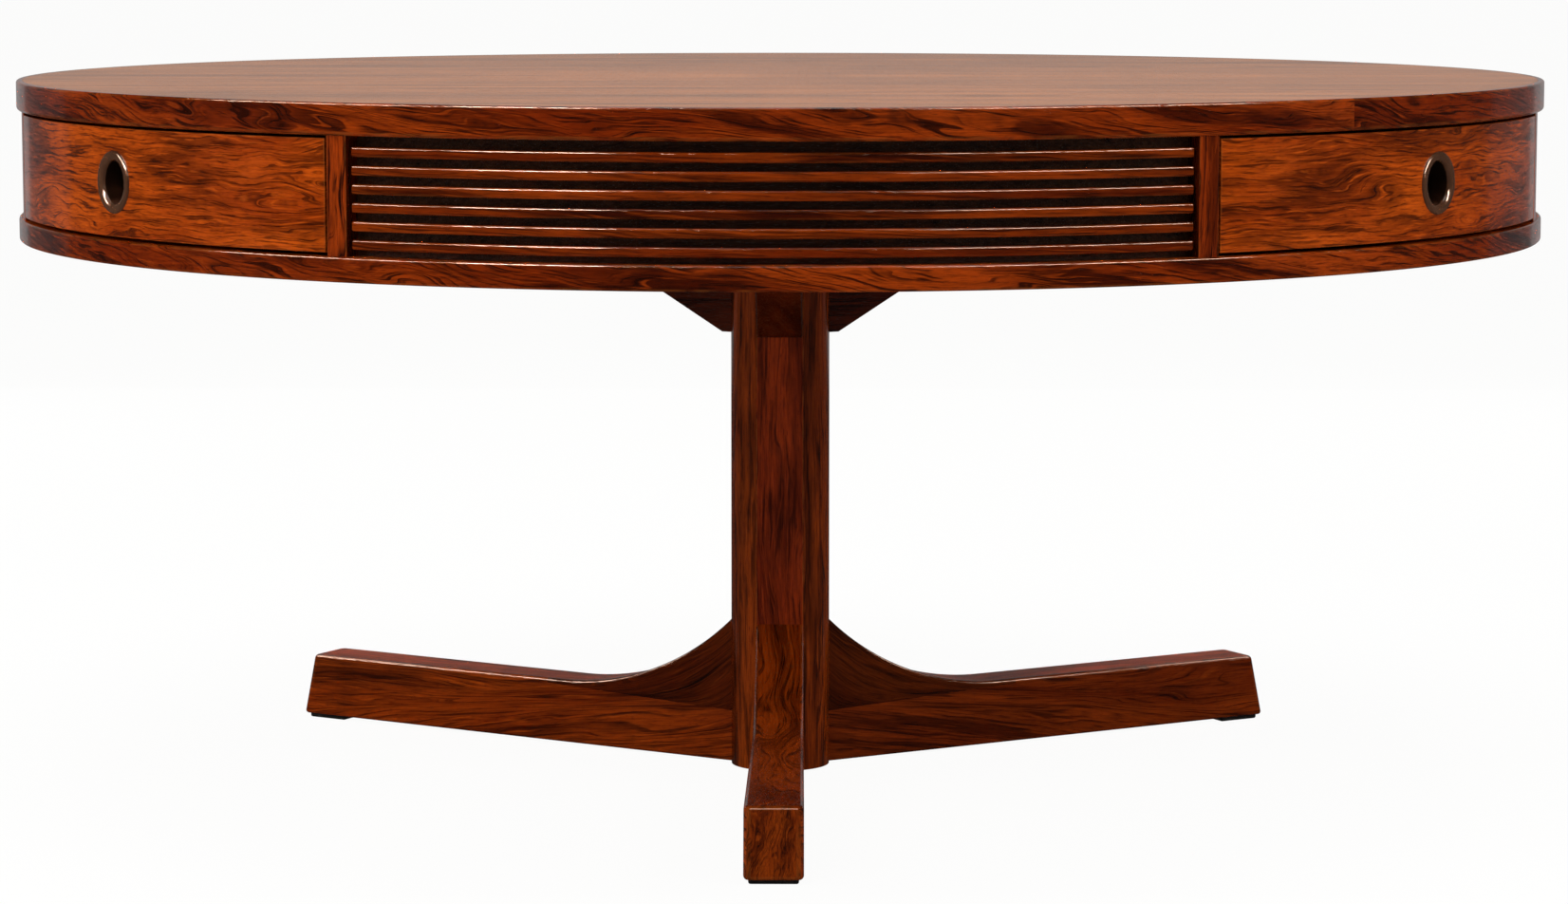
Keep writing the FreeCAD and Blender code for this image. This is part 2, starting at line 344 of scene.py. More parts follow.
def cut_from(seed):
    """Place in the log that a piece is cut from."""
    return Vector([step * seed for step in LOG_STEP])


def straight_grain(along, across, seed):
    """Grain that runs straight along one local axis."""
    depth = 3 - along - across
    shift = cut_from(seed)

    def lay(place, middle):
        return Vector((place[along], place[across], place[depth])) + shift

    return lay


def ring_grain(radius, seed, joint=TURN / 2):
    """Grain that runs round the drum, with one butt joint at an angle from local +X."""
    shift = cut_from(seed)

    def lay(place, middle):
        centre = (math.atan2(middle.y, middle.x) - joint) % TURN
        turn = (math.atan2(place.y, place.x) - joint - centre + TURN / 2) % TURN - TURN / 2
        return Vector(((centre + turn) * radius, place.z, off_axis(place))) + shift

    return lay


def to_mesh(name, shape):
    """Mesh of a finished shape, which is used up."""
    mesh = bpy.data.meshes.new(name)
    shape.to_mesh(mesh)
    shape.free()
    return mesh


def gathered(shapes):
    """Several shapes put into one."""
    whole = new_shape()
    for shape in shapes:
        mesh = to_mesh("gathered", shape)
        whole.from_mesh(mesh)
        bpy.data.meshes.remove(mesh)
    return whole


def stand(name, data):
    """New object in the scene."""
    thing = bpy.data.objects.new(name, data)
    bpy.context.scene.collection.objects.link(thing)
    return thing


def polished(name):
    """Collection of the pieces whose polished arrises mirror the gleam cards."""
    return bpy.data.collections.get(name) or bpy.data.collections.new(name)


def make_piece(name, shape, materials, node, body=CARCASS, slot=SOLID, gleams=()):
    """Turn a finished shape into a piece of the desk that stands for its node."""
    mesh = to_mesh(name, shape)
    mesh.shade_smooth()
    mesh.set_sharp_from_angle(angle=SHARP_EDGE)
    for material in materials:
        mesh.materials.append(material)
    piece = stand(name, mesh)
    for lit in gleams:
        polished(lit).objects.link(piece)
    even = piece.modifiers.new("even_normals", "WEIGHTED_NORMAL")
    even.keep_sharp = True
    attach(piece, body)
    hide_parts(node)


def dress(node, material):
    """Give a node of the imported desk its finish."""
    piece = frame["nodes"][node]
    piece.data.materials.clear()
    piece.data.materials.append(material)


# Finishes


class Wiring:
    """Places nodes in a tree and joins them."""

    def __init__(self, tree):
        self.tree = tree

    def add(self, kind, **settings):
        """New node with its own settings."""
        node = self.tree.nodes.new("ShaderNode" + kind)
        for name, value in settings.items():
            setattr(node, name, value)
        return node

    def feed(self, socket, value):
        """Join a socket to another node's output, or set its value."""
        if isinstance(value, bpy.types.NodeSocket):
            self.tree.links.new(value, socket)
        elif socket.type == "RGBA" and len(value) == 3:
            socket.default_value = (*value, 1.0)
        else:
            socket.default_value = value

    def fed(self, node, *values, **named):
        """First output of a node whose sockets are fed in order or by name."""
        for socket, value in zip(node.inputs, values):
            self.feed(socket, value)
        for label, value in named.items():
            self.feed(node.inputs[label.replace("_", " ")], value)
        return node.outputs[0]

    def end(self, shader, kind="Material"):
        """Join a shader to the tree's output."""
        self.feed(self.add("Output" + kind).inputs["Surface"], shader)

    def maths(self, operation, first, second=0.0):
        """Operation on two numbers, or on the first of them."""
        return self.fed(self.add("Math", operation=operation), first, second)

    def times(self, first, second):
        """Product of two numbers."""
        return self.maths("MULTIPLY", first, second)

    def plus(self, first, second):
        """Sum of two numbers."""
        return self.maths("ADD", first, second)

    def apart(self, place):
        """The three numbers of a place."""
        node = self.add("SeparateXYZ")
        self.fed(node, place)
        return node.outputs

    def place(self, *numbers):
        """Place made of three numbers."""
        return self.fed(self.add("CombineXYZ"), *numbers)

    def layer(self, name, output):
        """Layer that is written on the mesh."""
        return self.add("Attribute", attribute_name=name).outputs[output]

    def noise(self, place, scale, detail, roughness=0.5):
        """Even noise."""
        node = self.add("TexNoise")
        self.fed(node, Vector=place, Scale=scale, Detail=detail, Roughness=roughness)
        return node.outputs["Fac"]

    def drawn(self, place, scales, detail, roughness=0.5):
        """Noise drawn out by its own scale along each axis."""
        place = self.fed(self.add("VectorMath", operation="MULTIPLY"), place, scales)
        return self.noise(place, 1.0, detail, roughness)

    def between(self, value, low, high, least=0.0, most=1.0):
        """Smooth step from low to high."""
        node = self.add("MapRange", interpolation_type="SMOOTHSTEP")
        return self.fed(node, value, low, high, least, most)

    def mix(self, share, first, second):
        """Two numbers mixed."""
        node = self.add("Mix", data_type="FLOAT")
        for index, value in ((0, share), (2, first), (3, second)):
            self.feed(node.inputs[index], value)
        return node.outputs[0]

    def blend(self, share, first, second, kind="MIX"):
        """Two colours mixed."""
        node = self.add("Mix", data_type="RGBA", blend_type=kind)
        for index, value in ((0, share), (6, first), (7, second)):
            self.feed(node.inputs[index], value)
        return node.outputs[2]

    def relief(self, shader, height, strength):
        """Fine relief on a shader's surface."""
        bump = self.fed(self.add("Bump"), Strength=strength, Distance=RELIEF, Height=height)
        self.fed(shader, Normal=bump)


def emptied(owner):
    """Wiring of a material or world whose tree is cleared."""
    owner.use_nodes = True
    owner.node_tree.nodes.clear()
    return Wiring(owner.node_tree)


def new_group(name, inputs, outputs):
    """Wiring of a new shader node group with named sockets, and its two ends."""
    group = bpy.data.node_groups.new(name, "ShaderNodeTree")
    for label, kind, default in inputs:
        socket = group.interface.new_socket(
            label, in_out="INPUT", socket_type="NodeSocket" + kind)
        if default is not None:
            socket.default_value = default
    for label, kind in outputs:
        group.interface.new_socket(label, in_out="OUTPUT", socket_type="NodeSocket" + kind)
    start = group.nodes.new("NodeGroupInput").outputs
    end = group.nodes.new("NodeGroupOutput").inputs
    return Wiring(group), start, end


def figure_group():
    """Rosewood figure: wandering dark lines and streaks, fibre and pores."""
    wiring, given, result = new_group(
        "rosewood_figure",
        [("Grain", "Vector", None), ("Line spacing", "Float", 0.005), ("Stretch", "Float", 6.0),
         ("Slant", "Float", 0.0), ("Swirl", "Float", 12.0), ("Line strength", "Float", 0.8),
         ("Streak strength", "Float", 0.6), ("Gloss loss", "Float", 0.2),
         *((tone, "Color", None) for tone in TONES)],
        [("Color", "Color"), ("Roughness", "Float"), ("Height", "Float")])
    maths, times, plus, noise = wiring.maths, wiring.times, wiring.plus, wiring.noise
    drawn, between, blend = wiring.drawn, wiring.between, wiring.blend
    grain = given["Grain"]
    along, across, depth = wiring.apart(grain)
    slanted = plus(across, times(along, given["Slant"]))
    laid = wiring.place(maths("DIVIDE", along, given["Stretch"]), slanted, depth)
    per_line = maths("DIVIDE", 1.0, given["Line spacing"])
    unit = wiring.fed(wiring.add("VectorMath", operation="SCALE"), laid, Scale=per_line)

    # Rings: level lines of the place across the grain, bent by eyes, swirls and small ripples.
    lively = between(noise(unit, 0.045, 2.0), 0.38, 0.62, 0.25, 1.0)
    eyes = maths("SUBTRACT", noise(unit, 0.11, 2.0, 0.55), 0.5)
    eyes = times(times(eyes, lively), given["Swirl"])
    ripple = times(noise(unit, 0.36, 2.0, 0.55), 1.6)
    ring_axis = (0.0, 0.9, 0.43)
    level = wiring.add("VectorMath", operation="DOT_PRODUCT")
    wiring.fed(level, unit, ring_axis)
    rings = plus(plus(level.outputs["Value"], eyes), ripple)
    along, _, depth = wiring.apart(unit)
    flow = wiring.place(along, rings, depth)

    # Lines, streaks, dashes and flecks follow the rings. Fibre and pores follow the grain.
    late = between(maths("FRACT", rings), 0.35, 1.0)
    late = times(late, late)
    fade = between(drawn(flow, (0.55, 0.8, 0.5), 3.0, 0.65), 0.40, 0.60)
    lines = times(times(late, fade), given["Line strength"])
    streaks = between(drawn(flow, (0.13, 0.26, 0.2), 4.0, 0.6), 0.44, 0.66)
    streaks = times(streaks, given["Streak strength"])
    tone = between(noise(flow, 0.085, 3.0), 0.34, 0.66)
    dashes = between(drawn(flow, (0.42, 2.1, 1.4), 2.0, 0.6), 0.53, 0.66)
    dashes = times(dashes, given["Line strength"])
    flecks = between(drawn(flow, (0.6, 2.6, 1.9), 1.0), 0.42, 0.28)
    fibre = drawn(grain, (30.0, 560.0, 560.0), 3.0, 0.6)
    pores = between(drawn(grain, (130.0, 2500.0, 2500.0), 0.0), 0.65, 0.72)

    # The ground comes first, then each darker mark over it.
    wood = blend(tone, given["Light"], given["Middle"])
    wood = blend(streaks, wood, given["Deep"])
    wood = blend(times(flecks, 0.7), wood, given["Light"])
    wood = blend(lines, wood, given["Dark"])
    wood = blend(dashes, wood, given["Dark"])
    wood = blend(1.0, wood, between(fibre, 0.3, 0.7, 0.74, 1.24), "MULTIPLY")
    wood = blend(times(pores, 0.5), wood, given["Dark"])
    wiring.feed(result["Color"], wood)

    # Pores, fibre and lines dull the gloss a little and lie a little deeper.
    rough = plus(given["Gloss loss"], times(pores, 0.08))
    rough = plus(rough, times(fibre, 0.03))
    wiring.feed(result["Roughness"], plus(rough, times(lines, 0.04)))
    height = maths("SUBTRACT", times(fibre, 0.4), pores)
    wiring.feed(result["Height"], maths("SUBTRACT", height, times(lines, 0.3)))


def wear_and_highlight_group():
    """Mask of the arrises painted paler: wear, and where the amount is high, as on the staves, a
    painted highlight.
    """
    wiring, given, result = new_group(
        "arris_wear_and_highlight",
        [("Arris", "Float", 0.0), ("Grain", "Vector", None), ("Amount", "Float", 0.5)],
        [("Mask", "Float")])
    patches = wiring.between(wiring.noise(given["Grain"], 42.0, 3.0, 0.6), 0.32, 0.66)
    worn_and_lit = wiring.times(given["Arris"], patches)
    wiring.feed(result["Mask"], wiring.times(worn_and_lit, given["Amount"]))


def place_group(wiring, name, **values):
    """Put a shared node group into a material with its own values."""
    node = wiring.add("Group", node_tree=bpy.data.node_groups[name])
    wiring.fed(node, **values)
    return node.outputs


def bare_material(name):
    """Material with an empty tree, and its wiring."""
    material = bpy.data.materials.new(name)
    return material, emptied(material)


def new_material(name):
    """Material with one shader, and its wiring."""
    material, wiring = bare_material(name)
    shader = wiring.add("BsdfPrincipled")
    wiring.end(shader.outputs[0])
    return material, wiring, shader


# Figure of each kind of piece: line spacing in metres, stretch along the grain, slant, swirl, line
# and streak strength, shade and green share of the wood, and gloss loss.
figures = {
    "band_rosewood": (0.0050, 5.0, 0.14, 18.0, 0.88, 0.95, 0.63, 0.82, 0.09),
    "front_rosewood": (0.0050, 4.0, 0.0, 15.0, 0.74, 0.74, 1.07, 0.98, 0.09),
    "post_rosewood": (0.0055, 5.0, 0.0, 14.0, 0.95, 0.75, 0.67, 0.80, 0.12),
    "slat_rosewood": (0.0045, 9.0, 0.04, 9.0, 0.70, 1.00, 0.53, 0.88, 0.08),
    "column_rosewood": (0.0062, 6.5, 0.0, 12.0, 0.65, 0.90, 0.64, 1.00, 0.12),
    "stave_rosewood": (0.0056, 5.5, 0.0, 13.0, 0.60, 0.75, 0.74, 0.72, 0.12),
    # Arms: darker wood with painted shade from the drum above; the posts' sides use it as painted
    # shade.
    "arm_rosewood_painted_shade": (0.0080, 6.0, 0.0, 8.0, 0.60, 0.90, 0.18, 0.82, 0.20),
    "leg_rosewood": (0.0066, 6.0, 0.03, 13.0, 0.70, 0.80, 0.83, 0.98, 0.10),
    "knee_rosewood": (0.0066, 4.0, 0.05, 16.0, 0.50, 0.95, 0.34, 1.00, 0.10),
    # The right leg's and knee's rows are darker copies of the left's: painted shade.
    "right_leg_rosewood_painted_shade": (0.0066, 6.0, 0.03, 13.0, 0.70, 0.80, 0.50, 0.90, 0.10),
    "right_knee_rosewood": (0.0066, 4.0, 0.05, 16.0, 0.50, 0.95, 0.24, 1.00, 0.10),
    # Upward faces of the side legs and knees: satin, and darker as painted shade.
    "leg_top_rosewood": (0.0080, 5.0, 0.0, 14.0, 0.70, 0.75, 0.55, 0.95, 0.50),
    "front_leg_rosewood": (0.0080, 3.5, 0.0, 16.0, 0.80, 0.75, 0.76, 0.96, 0.20),
    "foot_end_rosewood": (0.0034, 2.6, 0.0, 14.0, 0.72, 0.70, 0.60, 1.00, 0.12),
    "lower_veneer": (0.0080, 6.0, 0.0, 10.0, 0.60, 0.70, 0.90, 0.95, 0.26),
}


def shaded(colour, shade, green=1.0):
    """Colour made lighter or darker, and redder where its green share is below 1."""
    return (colour[0] * shade, colour[1] * shade * green, colour[2] * shade)


def shades(colour, *steps):
    """Light, middle, deep and dark wood as shades of one colour."""
    return {tone: shaded(colour, step) for tone, step in zip(TONES, (1.0, *steps))}


def rosewood(name, wear=0.25):
    """Lacquered rosewood whose figure follows the grain written on its mesh."""
    if name in bpy.data.materials:
        return bpy.data.materials[name]
    finish = bpy.context.scene.drum_desk.finish
    spacing, stretch, slant, swirl, lines, streaks, shade, green, gloss_loss = figures[name]
    tones = {tone: shaded(getattr(finish, tone.lower()), shade, green) for tone in TONES}
    material, wiring, shader = new_material(name)
    grain, arris = wiring.layer("grain", "Vector"), wiring.layer("arris", "Fac")
    figure = place_group(
        wiring, "rosewood_figure", Grain=grain, Line_spacing=spacing, Stretch=stretch, Slant=slant,
        Swirl=swirl, Line_strength=lines, Streak_strength=streaks, Gloss_loss=gloss_loss, **tones)
    worn_and_lit = place_group(wiring, "arris_wear_and_highlight", Arris=arris, Grain=grain, Amount=wear)
    wood = wiring.blend(worn_and_lit["Mask"], figure["Color"], shaded(finish.worn_and_lit, shade))
    lacquer(wiring, shader, wood, figure)
    return material


def lacquer(wiring, shader, wood, figure):
    """Join a wood figure to its shader under clear lacquer."""
    index = bpy.context.scene.drum_desk.finish.lacquer_index
    wiring.fed(shader, Base_Color=wood, Roughness=figure["Roughness"], IOR=index)
    wiring.relief(shader, figure["Height"], strength=0.25)


def top_veneer():
    """Rosewood veneer on the top, laid in mirrored leaves that run from side to side."""
    desk = bpy.context.scene.drum_desk
    finish, leaf_width = desk.finish, desk.drum.leaf_width
    pair_along, pair_deep = 0.37, 0.019
    seam_width, seam_strength = 0.0022, 0.55
    material, wiring, shader = new_material("top_veneer")
    times, plus, maths = wiring.times, wiring.plus, wiring.maths
    along, across, _ = wiring.apart(wiring.add("TexCoord").outputs["Object"])
    leaf = maths("DIVIDE", across, leaf_width)
    pair = maths("FLOOR", maths("DIVIDE", plus(leaf, 1.0), 2.0))
    mirrored = maths("PINGPONG", leaf, 1.0)
    grain = wiring.place(
        plus(along, times(pair, pair_along)), times(mirrored, leaf_width), times(pair, pair_deep))
    figure = place_group(
        wiring, "rosewood_figure", Grain=grain, Line_spacing=0.0105, Stretch=9.0, Swirl=10.0,
        Line_strength=0.6, Streak_strength=0.65, Gloss_loss=0.18,
        # The top's lighter tones are painted light.
        **shades(finish.lit_top, 0.72, 0.30, 0.12))
    edge = maths("PINGPONG", leaf, 0.5)
    seam = wiring.between(edge, 0.0, seam_width, seam_strength, 0.0)
    wood = wiring.blend(seam, figure["Color"], finish.dark)
    lacquer(wiring, shader, wood, figure)
    return material


def plain_wood(name, colour, turn, along, gloss_loss):
    """Quiet straight-grained hardwood that follows the desk's own coordinates."""
    material, wiring, shader = new_material(name)
    turner = wiring.add("Mapping", vector_type="TEXTURE")
    place = wiring.add("TexCoord").outputs["Object"]
    x, y, z = wiring.apart(wiring.fed(turner, Vector=place, Rotation=(0.0, 0.0, turn)))
    grain = wiring.place(x, y, z) if along == "X" else wiring.place(y, x, z)
    figure = place_group(
        wiring, "rosewood_figure", Grain=grain, Line_spacing=0.006, Stretch=18.0, Swirl=4.0,
        Line_strength=0.45, Streak_strength=0.40, Gloss_loss=gloss_loss,
        **shades(colour, 0.76, 0.48, 0.30))
    lacquer(wiring, shader, figure["Color"], figure)
    return material


def pull_metal(name, shade, gloss_loss, shine):
    """Dark bronzed metal with faint turning marks, polished by fingers, or dull and darkened as
    painted shade inside the bore.
    """
    colour = shaded(bpy.context.scene.drum_desk.finish.pull, shade)
    material, wiring, shader = new_material(name)
    place = wiring.layer("grain", "Vector")
    marks = wiring.drawn(place, (20.0, 2600.0, 2600.0), 2.0)
    cloud = wiring.between(wiring.noise(place, 90.0, 3.0), 0.3, 0.7)
    wiring.fed(
        shader, Base_Color=wiring.blend(cloud, colour, shaded(colour, 0.78)),
        Roughness=wiring.between(marks, 0.2, 0.8, gloss_loss, gloss_loss + 0.06),
        Specular_IOR_Level=0.5 * shine, Coat_Weight=0.35 * shine, Coat_Roughness=0.09)
    wiring.relief(shader, marks, strength=0.02)
    return material


def glide_rubber():
    """Black rubber with a fine moulded grain and dusty patches."""
    colour = bpy.context.scene.drum_desk.finish.glide
    material, wiring, shader = new_material("glide_rubber")
    place = wiring.layer("grain", "Vector")
    skin = wiring.noise(place, 2400.0, 2.0)
    dust = wiring.between(wiring.noise(place, 70.0, 4.0, 0.6), 0.45, 0.75)
    wiring.fed(
        shader, Base_Color=wiring.blend(dust, colour, shaded(colour, 2.6)),
        Roughness=wiring.between(skin, 0.2, 0.8, 0.5, 0.7))
    wiring.relief(shader, skin, strength=0.3)
    return material


# Operators


class MakeStage(bpy.types.Operator):
    """Pale floor, soft lamps, white surroundings and the camera"""

    bl_idname = "drum_desk.make_stage"
    bl_label = "Stage"

    def execute(self, context):
        look = context.scene.drum_desk.stage
        self.set_surroundings(context, look)
        self.lay_floor(look)
        self.hang_lamps(look)
        self.hang_cards(look)
        self.set_camera(context, look)
        context.scene.view_settings.view_transform = "Standard"
        return {"FINISHED"}

    def seen(self, wiring):
        """Masks of where the white is seen straight or through glass, and where it is mirrored."""
        path = wiring.add("LightPath").outputs
        straight = wiring.maths("MAXIMUM", path["Is Camera Ray"], path["Is Transmission Ray"])
        return straight, path["Is Glossy Ray"]

    def set_surroundings(self, context, look):
        """White all round, dimmer as a light and in reflections."""
        context.scene.world = bpy.data.worlds.new("studio")
        wiring = emptied(context.scene.world)
        straight, mirrored = self.seen(wiring)
        dimmed = wiring.mix(mirrored, look.ambient, look.mirrored)
        strength = wiring.mix(straight, dimmed, 1.0)
        wiring.end(wiring.fed(wiring.add("Background"), WHITE, strength), "World")

    def lay_floor(self, look):
        """Wide floor that looks white and keeps the desk's shadow."""
        reach, thickness, paint = 90.0, 0.01, (0.72, 0.72, 0.71)
        shape = prism(circle(reach, STEPS["floor"]), -thickness, 0.0)
        floor = stand("floor", to_mesh("floor", shape))
        material, wiring = bare_material("pale_floor")
        add, fed = wiring.add, wiring.fed
        straight, mirrored = self.seen(wiring)
        lit = fed(add("BsdfDiffuse"), paint)
        dim = fed(add("Emission"), Strength=look.mirrored)
        unseen = fed(add("MixShader"), mirrored, lit, dim)
        shadowed = fed(add("BsdfDiffuse"), (1.0 - look.floor_glow,) * 3)
        white = fed(add("Emission"), WHITE, look.floor_glow)
        bright = fed(add("AddShader"), shadowed, white)
        wiring.end(fed(add("MixShader"), straight, unseen, bright))
        floor.data.materials.append(material)

    def hang_lamps(self, look):
        """Softboxes, of which the key and the fills do not show in reflections."""
        # Place, aim, width, height and power of each.
        places = {
            "key_softbox": ((-2.0, -2.8, 2.4), (0.0, 0.0, 0.55), 3.2, 1.1, look.key),
            "front_fill": ((2.9, -1.9, 1.9), (0.0, 0.0, 0.5), 1.5, 1.2, look.fill),
            "rim_softbox": ((0.0, 3.6, 1.1), (0.0, 0.0, 0.8), 5.4, 2.2, look.rim),
            "left_wing": ((-3.6, 3.4, 1.1), (0.0, 0.0, 0.8), 2.0, 2.2, look.wing),
            "right_wing": ((3.6, 3.4, 1.1), (0.0, 0.0, 0.8), 2.0, 2.2, look.wing),
            "left_fill": ((-3.3, -0.7, 0.9), (0.0, 0.0, 0.5), 1.4, 1.2, look.left),
            "right_fill": ((3.3, -0.7, 0.9), (0.0, 0.0, 0.5), 1.4, 1.2, look.right),
            "overhead_softbox": ((0.0, -0.3, 3.2), (0.0, 0.0, 0.0), 2.4, 2.4, look.overhead),
            "left_back_fill": ((-2.2, 3.2, 1.3), (0.0, 0.0, 0.5), 1.6, 1.2, look.back),
            "right_back_fill": ((2.2, 3.2, 1.3), (0.0, 0.0, 0.5), 1.6, 1.2, look.back),
        }
        for name, (place, aim, width, height, power) in places.items():
            lamp = bpy.data.lights.new(name, "AREA")
            lamp.shape = "RECTANGLE"
            lamp.size, lamp.size_y, lamp.energy = width, height, power
            hung = stand(name, lamp)
            hung.matrix_world = self.aimed(place, aim)
            hung.visible_camera = False
            hung.visible_glossy = not name.endswith(("_fill", "key_softbox"))

    def hang_cards(self, look):
        """Bright cards that show only as a gleam on the polished pieces."""
        front, side, low = look.gleam, look.side_gleam, look.leg_gleam
        # Place, aim, width, height and glow of each, and the pieces that mirror it.
        places = {
            "drum_gleam_card": ((-1.7, -3.4, 3.4), (0.0, -0.7, 0.62), 3.1, 0.8, front, DRUM_GLEAM),
            "left_gleam_card": ((-4.2, -1.4, 3.2), (-0.6, -0.4, 0.62), 3.2, 0.8, side, DRUM_GLEAM),
            "right_gleam_card": ((3.0, -3.0, 3.3), (0.2, -0.7, 0.62), 4.6, 0.8, side, DRUM_GLEAM),
            "front_leg_card": ((0.0, -2.6, 2.6), (0.0, -0.5, 0.1), 2.4, 1.2, low, LEG_GLEAM),
            "left_leg_card": ((-2.6, 1.3, 2.6), (-0.3, 0.2, 0.1), 1.6, 1.8, low, LEG_GLEAM),
            "right_leg_card": ((2.6, 1.3, 2.6), (0.3, 0.2, 0.1), 1.6, 1.8, low, LEG_GLEAM),
        }
        thickness = 0.01
        for name, (place, aim, width, height, glow, lit) in places.items():
            x, y = width / 2, height / 2
            shape = prism([(-x, -y), (x, -y), (x, y), (-x, y)], 0.0, thickness)
            card = stand(name, to_mesh(name, shape))
            card.matrix_world = self.aimed(place, aim)
            card.visible_camera = card.visible_diffuse = card.visible_shadow = False
            card.visible_transmission = card.visible_volume_scatter = False
            card.light_linking.receiver_collection = polished(lit)
            material, wiring = bare_material(name)
            material.cycles.emission_sampling = "NONE"
            wiring.end(wiring.fed(wiring.add("Emission"), look.gleam_colour, glow))
            card.data.materials.append(material)

    def aimed(self, place, aim):
        """Place and turn of a lamp or card that faces its aim."""
        turn = (Vector(aim) - Vector(place)).to_track_quat("-Z", "Y")
        return Matrix.Translation(place) @ turn.to_matrix().to_4x4()

    def set_camera(self, context, look):
        """Camera at the photograph's place."""
        lens = bpy.data.cameras.new("photo_camera")
        lens.sensor_width = SENSOR_WIDTH
        lens.sensor_fit = "HORIZONTAL"
        lens.lens = look.focal_pixels * SENSOR_WIDTH / PHOTO_WIDTH
        camera = stand("photo_camera", lens)
        aside = look.distance * math.sin(look.azimuth)
        camera.location = (aside, -look.distance * math.cos(look.azimuth), look.height)
        camera.rotation_euler = (TURN / 4 - look.pitch, 0.0, look.azimuth - look.aim)
        context.scene.camera = camera


class MakeTop(bpy.types.Operator):
    """Veneered top with its rounded edge band"""

    bl_idname = "drum_desk.make_top"
    bl_label = "Top"

    def execute(self, context):
        sizes = context.scene.drum_desk.drum
        outer = inscribed(top_low, top_high)
        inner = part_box("top_panel")[1].x
        low, high = top_low.z, top_high.z
        profile = [(inner, low), (outer, low), (outer, high), (inner, high)]
        band = lathe(profile, STEPS["drum"])
        rim = (inner + outer) / 2
        middle = (low + high) / 2
        soften(band, sizes.under_rounding,
               lambda at: off_axis(at) > rim and at.z < middle, segments=5)
        soften(band, sizes.edge_rounding, lambda at: off_axis(at) > rim and at.z > middle)
        grained(band, ring_grain(outer, seeds["top_band"], joint=math.radians(-48.0)))
        wood = rosewood("band_rosewood")
        make_piece("top_edge_band", band, [wood], "top_band", gleams=[DRUM_GLEAM])
        dress("top_panel", top_veneer())
        return {"FINISHED"}


class MakeLowerPanel(bpy.types.Operator):
    """Lower panel of the drum with a veneered edge"""

    bl_idname = "drum_desk.make_lower_panel"
    bl_label = "Lower panel"

    def execute(self, context):
        sizes = context.scene.drum_desk.drum
        outer = inscribed(panel_low, panel_high)
        plate = prism(circle(outer, STEPS["drum"]), panel_low.z, panel_high.z)
        soften(plate, sizes.edge_rounding, lambda at: True, segments=3)
        edge = ring_grain(outer, seeds["lower_edge"], joint=math.radians(70.0))
        flat = straight_grain(0, 1, seeds["lower_face"])

        def lay(place, middle):
            return edge(place, middle) if off_axis(middle) > outer / 2 else flat(place, middle)

        grained(plate, lay)
        for face in plate.faces:
            face.material_index = 0 if len(face.verts) <= 4 else 1
        woods = [rosewood("band_rosewood"), rosewood("lower_veneer")]
        make_piece("lower_plate", plate, woods, "lower_panel", slot=VENEER, gleams=[DRUM_GLEAM])
        return {"FINISHED"}


class MakePosts(bpy.types.Operator):
    """Posts between the drawers and the slatted panels"""

    bl_idname = "drum_desk.make_posts"
    bl_label = "Posts"

    def execute(self, context):
        sizes = context.scene.drum_desk.drum
        woods = [rosewood("post_rosewood"), rosewood("arm_rosewood_painted_shade")]
        for number, (body, azimuth) in enumerate(bays.items()):
            pair = []
            for side in (-1, 1):
                post = self.post(sizes, seeds["posts"] + 2 * number + side)
                post.transform(turned(azimuth + side * math.degrees(sizes.post_offset)))
                pair.append(post)
            bay = body.removesuffix("_drawer")
            make_piece("post_pair_" + bay, gathered(pair), woods, bay + "_posts")
        return {"FINISHED"}

    def post(self, sizes, seed):
        """Post with a curved front; its sides take the arms' dark wood as painted shade."""
        half = sizes.post_width / 2
        lean = math.asin(half / sizes.face_radius)
        curve = arc(AXIS, sizes.face_radius, -lean, lean, STEPS["post"])
        back = curve[0][0] - sizes.post_depth
        post = prism(curve + [(back, half), (back, -half)], panel_high.z, top_low.z)
        near = sizes.post_rounding
        front = curve[0][0] - near
        middle = (panel_high.z + top_low.z) / 2
        soften(post, near, lambda at: at.x > front and abs(at.z - middle) < near, segments=3)
        outward = 0.3
        # Faces that do not look outward take the arms' dark wood as painted shade.
        for face in post.faces:
            face.normal_update()
            face.material_index = 0 if face.normal.x > outward else 1
        return grained(post, straight_grain(2, 1, seed))


